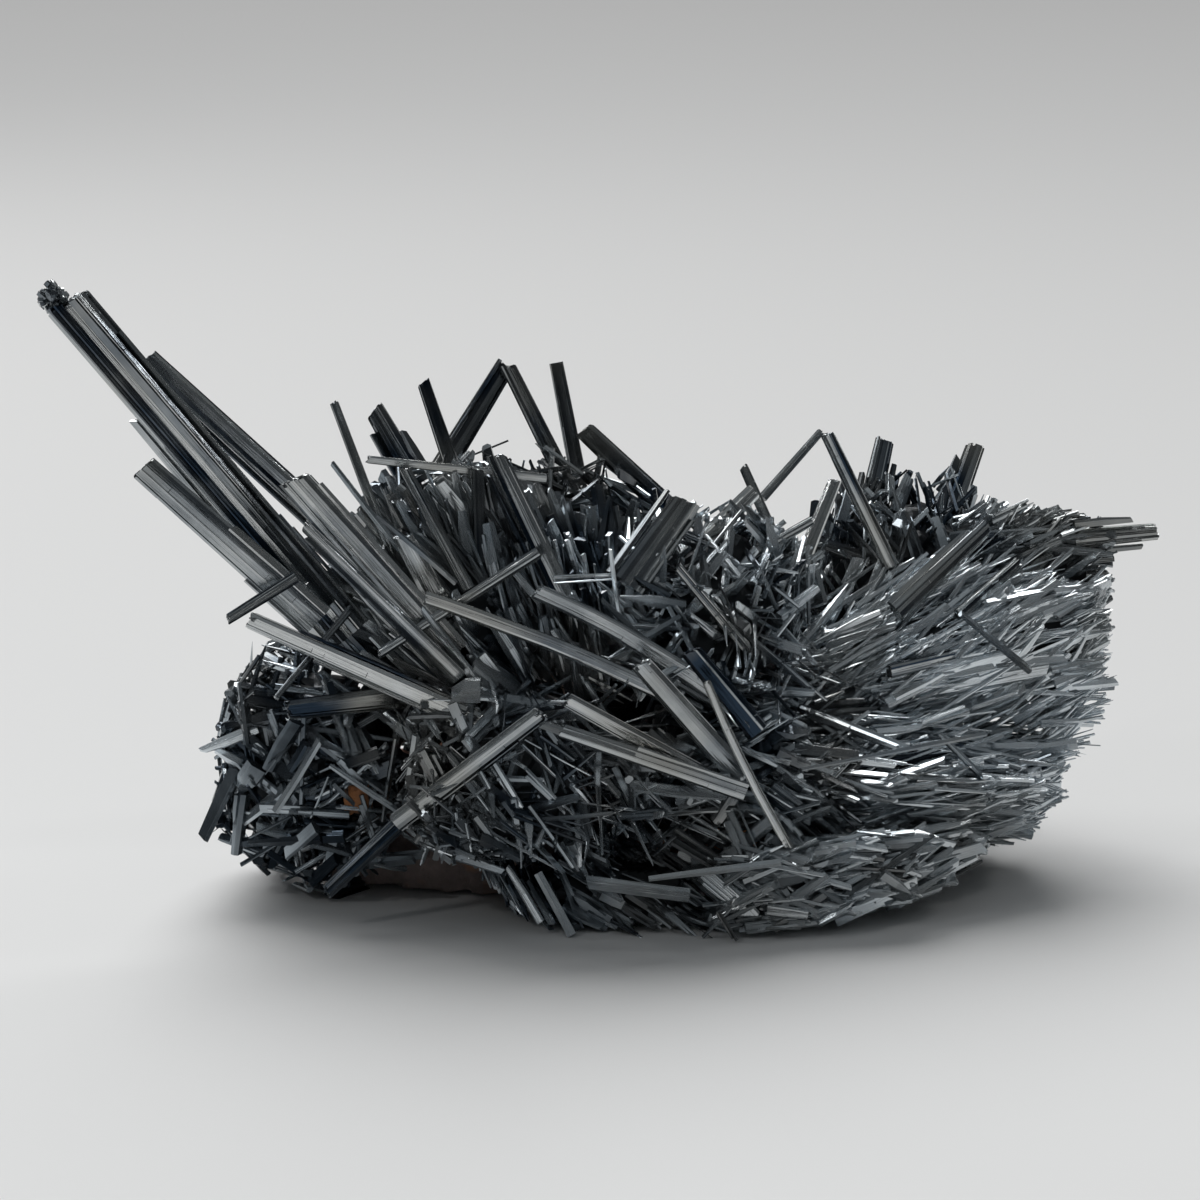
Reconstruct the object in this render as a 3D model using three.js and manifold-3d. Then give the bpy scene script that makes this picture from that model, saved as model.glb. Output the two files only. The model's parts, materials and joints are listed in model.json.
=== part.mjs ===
// A stibnite crystal spray: steel-grey blades and needles that grew together on a piece of rock.
// Millimetres, +Z up. The origin is the middle of the specimen's base.
//
// The larger crystals are solids of their own. Each cluster of fine needles is one closed solid
// that reaches the needles' tips, and has a socket for every larger crystal that grows out of it.

import * as THREE from "three";
import { ConvexGeometry } from "three/addons/geometries/ConvexGeometry.js";
import { mergeVertices } from "three/addons/utils/BufferGeometryUtils.js";
import Module from "manifold-3d";

const wasm = await Module();
wasm.setup();

const GAP = 0.3; // clearance between neighbouring solids
const PRISM_SIDES = 8; // a flattened prism with a bevel along each edge
const FLAT_FACE = 0.42; // half height of the narrow face, as a share of the half thickness
const BEVEL_START = 0.62; // half length of the broad face, as a share of the half width
const STRAIGHT_STEPS = 1;
const BENT_STEPS = 5;
const TIP_TAPER = 0.82; // taper of a crystal that states none of its own
const NOSE_WIDTH = 0.55; // width of a broken nose, as a share of the width near the tip

const COLOURS = {
  steel: 0x8a9098, // bright lead-grey prism faces
  dark: 0x4a4f57, // faces that turn away from the light
  warm: 0x85807a, // tarnished, slightly brown faces
  needles: 0x6c727a,
  rock: 0x9a8276,
};

// Larger crystals. tip and root are the ends of the middle line; width lies across it, seen from
// the front, and thick runs front to back. bow lifts the middle of a bent crystal, nose is the
// length of a narrower broken end, tilt leans the broken end face, and taper is the width near the
// tip as a share of the width at the root.
const CRYSTALS = [
  // the long spear at the left and the blades that leave it
  {
    name: "spear_main", tip: [-51.3, -7.4, 57.3], root: [-24.7, -9, 25.2],
    width: 4.3, thick: 3, nose: 2.6, taper: 1.06,
  },
  {
    name: "spear_back_blade", tip: [-43, -4, 49.5], root: [-25.5, -3, 32.5],
    width: 2.6, thick: 1.5, tilt: 0.8,
  },
  {
    name: "spear_lower_blade", tip: [-42.5, -12, 41], root: [-27.5, -11.8, 27],
    width: 3.2, thick: 1.5, tilt: -0.5,
  },

  // the upright fan beside the spear
  {
    name: "fan_tall_blade", tip: [-29.5, -11, 40], root: [-15.5, -10.5, 23.5],
    width: 3.4, thick: 1.7, tilt: 0.4,
  },
  {
    name: "fan_narrow_blade", tip: [-28.5, -13.8, 36.5], root: [-14.5, -14.4, 22.5],
    width: 1.3, thick: 0.9,
  },
  {
    name: "fan_slender_left", tip: [-26.5, -0.5, 45], root: [-21, -4.5, 31],
    width: 1, thick: 0.8, tilt: 0.3,
  },
  { name: "fan_upright_blade", tip: [-20, -5, 40], root: [-14, -7.5, 29], width: 1.3, thick: 1 },
  { name: "fan_broad_blade", tip: [-20, -8.8, 34.5], root: [-16, -8.2, 26.5], width: 2.2, thick: 1 },
  { name: "level_rod_behind", tip: [-23.5, -3.4, 40.3], root: [-7, -0.8, 38], width: 0.9, thick: 0.8 },
  { name: "crossing_rod", tip: [-22, -14, 24.4], root: [-7.6, -8.9, 32.7], width: 1.1, thick: 0.8 },
  {
    name: "crossing_splinter", tip: [-35.2, -16.6, 28.2], root: [-29.2, -13.6, 31.5],
    width: 1.1, thick: 0.8,
  },

  // the blades that lie across the left front
  {
    name: "bright_blade", tip: [-32.9, -16.6, 28.2], root: [-13, -14.7, 18.5],
    width: 1.9, thick: 1.3, tilt: 0.4,
  },
  { name: "slanting_strut", tip: [-30.9, -17.2, 21.2], root: [-24.4, -11.5, 28.2], width: 0.7, thick: 0.6 },
  {
    name: "dark_blade", tip: [-29.7, -16.4, 20], root: [-19.7, -11.3, 19.9],
    width: 2.2, thick: 1.3, tilt: 0.6,
  },

  // the twin and the long bent crystals of the middle
  { name: "twin_dark_blade", tip: [-13.3, -3.5, 39.6], root: [-13, -5.2, 31], width: 1.5, thick: 1.1 },
  {
    name: "twin_grooved_blade", tip: [-11.5, -5.5, 41], root: [-5, -7.5, 27.5],
    width: 2.2, thick: 1.3, tilt: -0.4,
  },
  {
    name: "long_bent_crystal", tip: [-17.7, -14.2, 29.8], root: [7, -13.6, 19],
    width: 1.5, thick: 1, bow: 0.6,
  },
  {
    name: "long_brown_crystal", tip: [-8, -13, 30.2], root: [9, -13, 20.2],
    width: 1.8, thick: 1.1, bow: 0.6,
  },
  { name: "sheaf_blade", tip: [6, -1.5, 36], root: [0.5, -6, 29], width: 3.3, thick: 1.2, tilt: 0.4 },
  { name: "bright_sheaf_blade", tip: [12.5, 2.5, 36.2], root: [5.5, -1.5, 30], width: 1.9, thick: 1 },
  { name: "thin_grooved_blade", tip: [5, -6.5, 31], root: [11.5, -8.5, 23.5], width: 1.2, thick: 0.9 },
  {
    name: "dark_pair_blade", tip: [6.1, -14.2, 24.9], root: [12.2, -14, 17.3],
    width: 2.2, thick: 1.2, tilt: 0.3,
  },
  {
    name: "bright_thin_crystal", tip: [7.4, -17.8, 23], root: [15, -18.6, 7.6],
    width: 0.9, thick: 0.8, bow: -0.3,
  },

  // the blades and the chevron of the lower front
  { name: "front_blade_upper", tip: [1.5, -17.4, 24.6], root: [10.8, -15.9, 13.5], width: 2.2, thick: 1.1 },
  { name: "front_blade_middle", tip: [-4.9, -19.1, 21.6], root: [7.2, -15.8, 13.8], width: 1.6, thick: 1 },
  { name: "chevron_right", tip: [-5.6, -20.2, 19.2], root: [10.9, -18.1, 12.8], width: 1.7, thick: 1.2 },
  {
    name: "chevron_left", tip: [-7.4, -19.4, 20.3], root: [-20.3, -16.8, 9.6],
    width: 1.8, thick: 1.2, tilt: -0.6,
  },
  { name: "low_dark_blade", tip: [-26.7, -18.2, 3.4], root: [-20.1, -14.8, 9], width: 1.6, thick: 1.1 },

  // the V and its neighbours, set back at the right
  { name: "vee_left_arm", tip: [19.3, 11.4, 40.3], root: [13.5, 7.5, 34.5], width: 0.9, thick: 0.7 },
  { name: "vee_right_arm", tip: [19.6, 9.6, 40.5], root: [26, 9, 27.5], width: 1.6, thick: 1.2 },
  { name: "glinting_crystal", tip: [20.4, 6.8, 36.5], root: [16.8, 4, 28], width: 1.7, thick: 0.7 },
  { name: "short_post", tip: [11.5, 6.2, 38], root: [14.5, 3.7, 31.5], width: 1.1, thick: 0.9 },
  { name: "slanting_rod", tip: [18, 1.5, 33.6], root: [7.5, -3, 28.5], width: 1.1, thick: 0.9 },

  // the crest at the back left
  {
    name: "crest_dark_block", tip: [-24, 18, 41], root: [-20.5, 17, 35],
    width: 2.4, thick: 1.8, tilt: 0.7,
  },
  { name: "crest_spike", tip: [-19.4, 19, 44], root: [-16.3, 17.2, 35], width: 1.6, thick: 1.2 },
  {
    name: "crest_arch_left", tip: [-11.5, 24.4, 44.4], root: [-17.8, 20.6, 34.6],
    width: 2.4, thick: 1.6, tilt: 0.6,
  },
  {
    name: "crest_arch_right", tip: [-11.1, 22.6, 44.8], root: [-4.6, 20.4, 32],
    width: 1.8, thick: 1.2, tilt: -0.4,
  },
  { name: "crest_post", tip: [-6.3, 25.5, 44.3], root: [-4, 24, 32.5], width: 1.7, thick: 1.2, tilt: 0.5 },
  {
    name: "crest_slope_blade", tip: [-3.4, 20, 38.7], root: [5, 18, 31],
    width: 2.4, thick: 1.5, tilt: 0.5,
  },
  { name: "back_spike_left", tip: [27.3, 33, 35.6], root: [25, 27.5, 27.5], width: 2.4, thick: 1.8 },
  { name: "back_spike_right", tip: [36.6, 33, 35], root: [33, 27.5, 27], width: 2.3, thick: 1.8 },

  // the broad blades of the right-hand bowl
  { name: "bowl_blade_upper", tip: [35.5, 10, 31.4], root: [26, 2, 24.5], width: 1.9, thick: 1.1 },
  { name: "bowl_blade_middle", tip: [38.2, 8.5, 28], root: [32, 3, 24], width: 1.5, thick: 1 },
  { name: "bowl_blade_outer", tip: [43.3, 13.5, 29.6], root: [37.5, 8, 25], width: 1.5, thick: 1 },
  { name: "bowl_blade_lower", tip: [36, 3, 21.2], root: [25, -2.5, 20], width: 1.4, thick: 1 },
  { name: "rim_horn", tip: [51.8, 12.5, 30.2], root: [44, 12, 29.6], width: 1.9, thick: 1.6, tilt: 0.5 },
];

// Clusters of fine needles and the rock: the corner points of each one's outer shape. Each one is
// cut back from those before it in the list.
const BASE_LEVEL = 0;

const CLUSTERS = [
  {
    name: "matrix_rock",
    colour: COLOURS.rock,
    points: [
      [-29, -6, BASE_LEVEL], [-17, -9.5, BASE_LEVEL], [-9, -9.5, BASE_LEVEL], [8, -7, BASE_LEVEL],
      [20, 4, BASE_LEVEL], [16, 16, BASE_LEVEL], [-6, 20, BASE_LEVEL], [-24, 14, BASE_LEVEL],
      [-30, -6.5, 3], [-29.5, -5.5, 8.5], [-24.5, -6.5, 9.5], [-18, -9.8, 3.4], [-9, -9.8, 3.4],
      [6, -6, 8], [18, 4, 8], [14, 15, 9], [-6, 19, 10], [-26, 10, 9], [-31, 2, 4],
    ],
  },
  {
    name: "left_lobe",
    points: [
      [-34.5, -5, 24], [-37.8, -6, 18], [-39.3, -7, 13.6], [-38.9, -9, 5.4], [-34.5, -10, 3],
      [-30.5, -11, 0.8], [-26, -11, BASE_LEVEL], [-33, 2, BASE_LEVEL], [-37, 3, 7], [-38, 3, 15],
      [-33, 5, 22], [-25, 4, 22], [-20, -8, 20], [-20, -12.5, 14], [-21, -12, 6], [-27, -13.5, 12],
      [-30, -12.5, 19], [-16, -3, 19], [-16, 2, 18], [-17, -3, 10],
    ],
  },
  {
    name: "front_cluster",
    points: [
      [-18.5, -16, 21], [-11, -17, 22], [-5, -18.5, 19], [-1, -19, 15.5], [0, -19.5, 7],
      [-6, -20.8, 6.5], [-12, -20.8, 6], [-18, -20, 9], [-20, -18, 12], [-20, -9, 20], [0, -9, 20],
      [0, -9, 5], [-20, -9, 5],
    ],
  },
  {
    name: "foot_cluster",
    points: [
      [-13, -17, 5.8], [-9, -18.5, 0.4], [-4.5, -20.5, BASE_LEVEL], [2, -20.5, BASE_LEVEL],
      [8, -20, BASE_LEVEL], [9, -17, 6.2], [-13, -10.5, 5.8], [9, -9, 6.2], [9, -10, BASE_LEVEL],
      [-10, -11, BASE_LEVEL],
    ],
  },
  {
    name: "front_lip",
    points: [
      [9.4, -22, 0.6], [14, -22.3, 0.2], [19, -20.5, BASE_LEVEL], [25.5, -18.2, 1.6], [30, -14, 1.8],
      [33.8, -12.4, 4.4], [33.3, -12, 6.6], [25, -18, 9.5], [16, -20, 8.4], [9.4, -21, 7],
      [9.4, -13, 5], [20, -9, 5], [31, -7, 5], [22, -9, BASE_LEVEL], [12, -10, BASE_LEVEL],
    ],
  },
  {
    name: "bowl_floor",
    points: [
      [0.4, -17, 13.8], [8, -16.5, 13.2], [16, -16, 12], [22, -12.5, 12], [21, -3, 17.5], [8, -3, 19],
      [0.4, -7, 19.5], [12, -14, 18], [0.4, -17, 5], [9, -17.2, 5], [16, -17, 6.5], [22, -14, 6.5],
      [20, -2, 8], [0.4, -5, 8],
    ],
  },
  {
    name: "middle_fan",
    points: [
      [-29, -8, 27.5], [-27, -5, 33.5], [-22, -5, 36], [-18.5, -4.5, 38.5], [-13, -4.2, 40],
      [-9, -5.5, 37], [-3.5, -7.5, 31.5], [-0.5, -9.5, 27], [-0.5, -12.5, 20.5], [-16, -13.5, 20.5],
      [-26, -12.5, 21], [-27, 6, 32], [-22, 7.5, 38.5], [-11, 7.5, 39], [-0.5, 6.5, 33], [-0.5, 7, 20.5],
      [-25, 6, 20.5],
    ],
  },
  {
    name: "centre_cluster",
    points: [
      [-0.2, -8, 29], [5, -3, 34.5], [11.5, -1, 37], [16.5, 0, 33.5], [19, 0, 29], [18.5, -6, 20.5],
      [13, -15, 18.3], [6, -15.5, 21], [-0.2, -14, 22.5], [-0.2, 7.5, 33], [12, 7.5, 34],
      [19, 6, 30], [19, 7, 18.3], [-0.2, 7.5, 18.3],
    ],
  },
  {
    name: "crest_cluster",
    points: [
      [-24.8, 16, 36.5], [-21.5, 17, 38], [-12, 17.8, 39.2], [-2, 17.6, 38.2], [2.5, 16.8, 34.5],
      [8, 16, 31.5], [-23, 23, 31], [-8, 28, 34], [6, 26, 28], [-20, 25, 20], [-4, 28, 16],
      [7, 25, 16], [-25, 8, 16], [8, 8, 16], [-24, 8.5, 34], [7, 8.5, 32], [-22, 20, 16],
    ],
  },
  {
    name: "bowl_lower_wall",
    points: [
      [22.5, -13, 11.6], [31, -12.2, 7.2], [34, -11.6, 9.4], [33.5, -11.2, 13], [39.5, -5, 4],
      [42.3, -3.8, 7], [43.5, -3, 12], [40, 6, 3], [42, 8, 12], [24, 6, BASE_LEVEL], [36, 4, BASE_LEVEL],
      [31, -6.5, 5.4], [22.5, -3, 17], [22.5, -10, 7], [22.5, 8, 17],
    ],
  },
  {
    name: "bowl_wall",
    points: [
      [20, -2.5, 18], [24, 0.5, 22], [36, 0.5, 22.5], [44.5, 0.5, 20.8], [46, 1.5, 24], [46.8, 2.5, 27],
      [47.5, 0.5, 18], [45.5, -0.5, 13.7], [44.5, 9, 13], [47, 9, 27], [36, 9, 28], [22, 9, 27],
      [20, 9, 18],
    ],
  },
  {
    name: "rim_cluster",
    points: [
      [27, 9.5, 24], [32, 10.5, 29], [35, 12, 33.8], [41, 12, 32.4], [46.5, 11.8, 32.6], [49, 11.2, 29],
      [47.5, 10.5, 26], [45, 9.5, 18], [46, 18, 20], [46, 19, 30], [36, 21, 32], [27, 9.5, 18],
    ],
  },
  {
    name: "back_right_cluster",
    points: [
      [17, 9.5, 29], [20.5, 18, 35], [25, 23, 34.5], [32, 24, 35], [36.5, 23, 32], [27, 9.5, 30],
      [22, 29, 29], [34, 30, 28], [15.5, 9, 17.5], [39, 12, 17.5], [40, 22, 22], [35, 27, 17.5],
      [16, 24, 17.5],
    ],
  },
  {
    name: "back_base_cluster",
    points: [
      [-25, 8, 15.7], [-21, 22, 15.7], [-4, 27, 15.7], [7, 26, 15.7], [30, 27, 17.2], [38, 22, 17.2],
      [39, 11, 17.2], [-21, 15, 4], [-12, 22, BASE_LEVEL], [10, 23, BASE_LEVEL], [27, 20, BASE_LEVEL],
      [32, 10, 2], [25, 6.5, 8], [-23, 7, 8],
    ],
  },
];

// Places a prism's own axes: its length along tip minus root, its width across the front view.
function crystalMatrix({ root, tip }) {
  const start = new THREE.Vector3(...root);
  const end = new THREE.Vector3(...tip);
  const along = end.clone().sub(start).normalize();
  const across = new THREE.Vector3(0, 1, 0).cross(along).normalize();
  const outward = new THREE.Vector3().crossVectors(across, along);
  const middle = start.add(end).multiplyScalar(0.5);
  return new THREE.Matrix4().makeBasis(across, along, outward).setPosition(middle);
}

// A flattened prism with bevelled edges, bent by bow and ending in a slanted break. Its length
// lies along Y, its width along X. grow makes it larger on every side, for cutting its socket.
function crystalGeometry(crystal, grow = 0) {
  const { root, tip, width, thick, bow = 0, nose = 0, tilt = 0, taper = TIP_TAPER } = crystal;
  const length = new THREE.Vector3(...root).distanceTo(new THREE.Vector3(...tip));
  const steps = bow === 0 && nose === 0 ? STRAIGHT_STEPS : BENT_STEPS;
  const geometry = new THREE.CylinderGeometry(1, 1, 1, PRISM_SIDES, steps);
  const position = geometry.getAttribute("position");
  const shoulder = 1 - nose / length;
  for (let index = 0; index < position.count; index += 1) {
    const step = Math.round((position.getY(index) + 0.5) * steps);
    const share = nose > 0 && step < steps ? (step / (steps - 1)) * shoulder : step / steps;
    const isNose = nose > 0 && step === steps;
    const narrowing = THREE.MathUtils.lerp(1, taper, share) * (isNose ? NOSE_WIDTH : 1);
    const [x, z] = prismCorner(position.getX(index), position.getZ(index));
    const halfWidth = (width / 2) * narrowing + grow;
    const halfThick = (thick / 2) * narrowing + grow;
    const lean = step === steps ? tilt * x * narrowing : 0;
    const reach = (share - 0.5) * (length + 2 * grow);
    const lift = bow * 4 * share * (1 - share);
    position.setXYZ(index, x * halfWidth + lift, reach + lean, z * halfThick);
  }
  return positionsOnly(geometry);
}

// Moves a point of the unit octagon to the matching corner of the bevelled flat section.
function prismCorner(x, z) {
  const radius = Math.hypot(x, z);
  if (radius < 0.5) {
    return [0, 0];
  }
  const corner = Math.floor((Math.atan2(z, x) / (2 * Math.PI)) * PRISM_SIDES + PRISM_SIDES + 0.5);
  const corners = [
    [1, FLAT_FACE], [BEVEL_START, 1], [-BEVEL_START, 1], [-1, FLAT_FACE],
    [-1, -FLAT_FACE], [-BEVEL_START, -1], [BEVEL_START, -1], [1, -FLAT_FACE],
  ];
  return corners[corner % PRISM_SIDES];
}

// The convex shape of a cluster's corner points, larger by grow on every side where asked.
function clusterGeometry(points, grow = 0) {
  const corners = points.map((point) => new THREE.Vector3(...point));
  if (grow === 0) {
    return positionsOnly(new ConvexGeometry(corners));
  }
  const grown = corners.flatMap((corner) => [
    corner.clone().add(new THREE.Vector3(grow, 0, 0)),
    corner.clone().add(new THREE.Vector3(-grow, 0, 0)),
    corner.clone().add(new THREE.Vector3(0, grow, 0)),
    corner.clone().add(new THREE.Vector3(0, -grow, 0)),
    corner.clone().add(new THREE.Vector3(0, 0, grow)),
    corner.clone().add(new THREE.Vector3(0, 0, -grow)),
  ]);
  return positionsOnly(new ConvexGeometry(grown));
}

// Leaves only the corner positions and joins the ones that coincide.
function positionsOnly(geometry) {
  geometry.deleteAttribute("normal");
  geometry.deleteAttribute("uv");
  return mergeVertices(geometry, 1e-4);
}

function toSolid(geometry) {
  return new wasm.Manifold(new wasm.Mesh({
    numProp: 3,
    vertProperties: new Float32Array(geometry.getAttribute("position").array),
    triVerts: new Uint32Array(geometry.getIndex().array),
  }));
}

// The largest connected body of a solid, as a geometry. Chips cut loose beside a socket are left out.
function largestBody(solid) {
  const mesh = solid.getMesh();
  const owner = Array.from({ length: mesh.vertProperties.length / 3 }, (_, vertex) => vertex);
  const find = (vertex) => {
    let top = vertex;
    while (owner[top] !== top) {
      top = owner[top];
    }
    owner[vertex] = top;
    return top;
  };
  for (let corner = 0; corner < mesh.triVerts.length; corner += 3) {
    owner[find(mesh.triVerts[corner + 1])] = find(mesh.triVerts[corner]);
    owner[find(mesh.triVerts[corner + 2])] = find(mesh.triVerts[corner]);
  }
  const bodies = new Map();
  for (let corner = 0; corner < mesh.triVerts.length; corner += 3) {
    const top = find(mesh.triVerts[corner]);
    const body = bodies.get(top) ?? [];
    body.push(...mesh.triVerts.slice(corner, corner + 3));
    bodies.set(top, body);
  }
  const largest = [...bodies.values()].reduce((best, body) => (body.length > best.length ? body : best));
  const geometry = new THREE.BufferGeometry();
  geometry.setAttribute("position", new THREE.BufferAttribute(mesh.vertProperties, 3));
  geometry.setIndex(largest);
  return geometry;
}

function crystalMesh(crystal) {
  const material = new THREE.MeshStandardMaterial({
    color: crystal.name.includes("dark") ? COLOURS.dark : COLOURS.steel,
    metalness: 0.9,
    roughness: 0.3,
  });
  if (crystal.name.includes("brown") || crystal.name.includes("lower")) {
    material.color.set(COLOURS.warm);
  }
  const mesh = new THREE.Mesh(crystalGeometry(crystal), material);
  mesh.name = crystal.name;
  crystalMatrix(crystal).decompose(mesh.position, mesh.quaternion, mesh.scale);
  return mesh;
}

function clusterMesh(cluster, cutters) {
  const isRock = cluster.colour === COLOURS.rock;
  const material = new THREE.MeshStandardMaterial({
    color: cluster.colour ?? COLOURS.needles,
    metalness: isRock ? 0 : 0.8,
    roughness: isRock ? 0.9 : 0.4,
  });
  const whole = toSolid(clusterGeometry(cluster.points));
  const cut = cutters.reduce((solid, cutter) => solid.subtract(cutter), whole);
  const mesh = new THREE.Mesh(largestBody(cut), material);
  mesh.name = cluster.name;
  return mesh;
}

const spray = new THREE.Group();
CRYSTALS.forEach((crystal) => spray.add(crystalMesh(crystal)));

const cutters = CRYSTALS.map((crystal) => {
  const socket = crystalGeometry(crystal, GAP);
  socket.applyMatrix4(crystalMatrix(crystal));
  return toSolid(socket);
});
for (const cluster of CLUSTERS) {
  spray.add(clusterMesh(cluster, cutters));
  cutters.push(toSolid(clusterGeometry(cluster.points, GAP)));
}

// The specimen stands on its base, with the origin under the middle of its outer box.
const box = new THREE.Box3().setFromObject(spray, true);
const middle = box.getCenter(new THREE.Vector3());
spray.position.set(-middle.x, -middle.y, -box.min.z);

const specimen = new THREE.Group();
specimen.add(spray);
export default specimen;
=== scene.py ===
"""A stibnite crystal spray: grooved steel-grey blades, fine needles and a piece of rock."""

import json

import bmesh
import bpy
import numpy as np
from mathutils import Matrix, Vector


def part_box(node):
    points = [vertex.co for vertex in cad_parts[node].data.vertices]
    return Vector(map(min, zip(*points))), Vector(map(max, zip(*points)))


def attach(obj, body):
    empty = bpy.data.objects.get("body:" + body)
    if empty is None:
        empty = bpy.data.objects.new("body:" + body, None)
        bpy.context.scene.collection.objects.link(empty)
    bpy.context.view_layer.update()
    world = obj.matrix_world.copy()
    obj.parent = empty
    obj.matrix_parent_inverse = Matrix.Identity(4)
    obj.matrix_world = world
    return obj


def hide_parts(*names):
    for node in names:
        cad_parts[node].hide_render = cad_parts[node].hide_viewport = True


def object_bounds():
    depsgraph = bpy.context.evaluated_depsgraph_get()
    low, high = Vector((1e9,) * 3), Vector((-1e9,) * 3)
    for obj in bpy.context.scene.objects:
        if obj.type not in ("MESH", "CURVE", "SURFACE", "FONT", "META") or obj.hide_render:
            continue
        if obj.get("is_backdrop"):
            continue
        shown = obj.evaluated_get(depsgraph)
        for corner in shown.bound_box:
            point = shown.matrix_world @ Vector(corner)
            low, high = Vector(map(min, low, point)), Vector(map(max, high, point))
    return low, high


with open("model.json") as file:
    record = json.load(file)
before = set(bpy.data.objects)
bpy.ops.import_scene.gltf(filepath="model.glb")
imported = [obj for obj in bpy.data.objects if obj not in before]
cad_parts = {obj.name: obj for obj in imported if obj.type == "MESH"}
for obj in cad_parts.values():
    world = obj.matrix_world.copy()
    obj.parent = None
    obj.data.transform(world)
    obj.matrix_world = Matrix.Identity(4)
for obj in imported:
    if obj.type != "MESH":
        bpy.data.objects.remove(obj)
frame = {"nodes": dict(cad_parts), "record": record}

MM = 0.001
CAD_LOW, CAD_HIGH = (np.array(corner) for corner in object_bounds())
SURFACE_Z = CAD_LOW[2]

# ---------------- directions and random numbers


def unit(vectors):
    """Each vector divided by its length."""
    length = np.linalg.norm(vectors, axis=-1, keepdims=True)
    return vectors / np.maximum(length, 1e-12)


def random_directions(rng, count):
    """Directions spread evenly over the sphere: normal deviates, divided by their length."""
    return unit(rng.normal(size=(count, 3)))


def cross_directions(axis, roll):
    """Two directions square to each axis and to each other, turned round the axis by roll."""
    helper = np.where(np.abs(axis[..., 2:3]) < 0.9, [[0.0, 0.0, 1.0]], [[1.0, 0.0, 0.0]])
    first = unit(np.cross(helper, axis))
    second = np.cross(axis, first)
    cosine, sine = np.cos(roll)[..., None], np.sin(roll)[..., None]
    return first * cosine + second * sine, second * cosine - first * sine


# ---------------- meshes from arrays


def shape(points, corners, sizes, uv, tone, material=0):
    """One part of a mesh: its points, face corners, corners per face, UVs, tone and material."""
    return {
        "points": points.reshape(-1, 3),
        "corners": corners.reshape(-1),
        "sizes": sizes.reshape(-1),
        "uv": uv.reshape(-1, 2),
        "tone": np.broadcast_to(tone, len(points.reshape(-1, 3))),
        "material": np.full(sizes.size, material),
    }


def make_piece(name, shapes, materials, nodes):
    """Joins the shapes into one mesh object that rides on the specimen and stands for its nodes."""
    starts = np.cumsum([0] + [len(part["points"]) for part in shapes[:-1]])
    corners = np.concatenate([part["corners"] + start for part, start in zip(shapes, starts)])
    sizes = np.concatenate([part["sizes"] for part in shapes])
    points = np.concatenate([part["points"] for part in shapes])
    points = np.clip(points, CAD_LOW, CAD_HIGH)
    mesh = bpy.data.meshes.new(name)
    mesh.vertices.add(len(points))
    mesh.vertices.foreach_set("co", points.ravel())
    mesh.loops.add(len(corners))
    mesh.loops.foreach_set("vertex_index", corners)
    mesh.polygons.add(len(sizes))
    mesh.polygons.foreach_set("loop_start", np.concatenate([[0], np.cumsum(sizes)[:-1]]))
    material_index = np.concatenate([part["material"] for part in shapes])
    mesh.polygons.foreach_set("material_index", material_index)
    mesh.polygons.foreach_set("use_smooth", np.zeros(len(sizes), bool))
    mesh.update(calc_edges=True)
    uv_map = mesh.uv_layers.new(name="lengthwise")
    uv_map.data.foreach_set("uv", np.concatenate([part["uv"] for part in shapes]).ravel())
    tone = mesh.attributes.new("tone", "FLOAT", "POINT")
    tone.data.foreach_set("value", np.concatenate([part["tone"] for part in shapes]))
    for material in materials:
        mesh.materials.append(material)
    piece = bpy.data.objects.new(name, mesh)
    bpy.context.scene.collection.objects.link(piece)
    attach(piece, "root")
    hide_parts(*nodes)


def wall_faces(count, rings, around):
    """Four-cornered faces between neighbouring rings of tubes, each of rings by around points."""
    tube = np.arange(count)[:, None, None] * rings * around
    ring = np.arange(rings - 1)[None, :, None] * around
    place = np.arange(around)[None, None, :]
    following = (place + 1) % around
    lower, upper = tube + ring, tube + ring + around
    return np.stack([lower + place, lower + following, upper + following, upper + place], axis=-1)


# ---------------- needles

NEEDLE_RINGS = np.array([0.0, 0.5, 1.0])  # places of a needle's rings, as shares of its length
NEEDLE_CORNERS = np.radians([0, 52, 128, 180, 232, 308])  # places of its corners round the section
CORNER_SPREAD = 0.3  # radians
BEND_SPREAD = 0.008  # sideways bend of a needle, as a share of its length
STEEPEST_BREAK = 1.1  # slope of a needle's broken end


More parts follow.
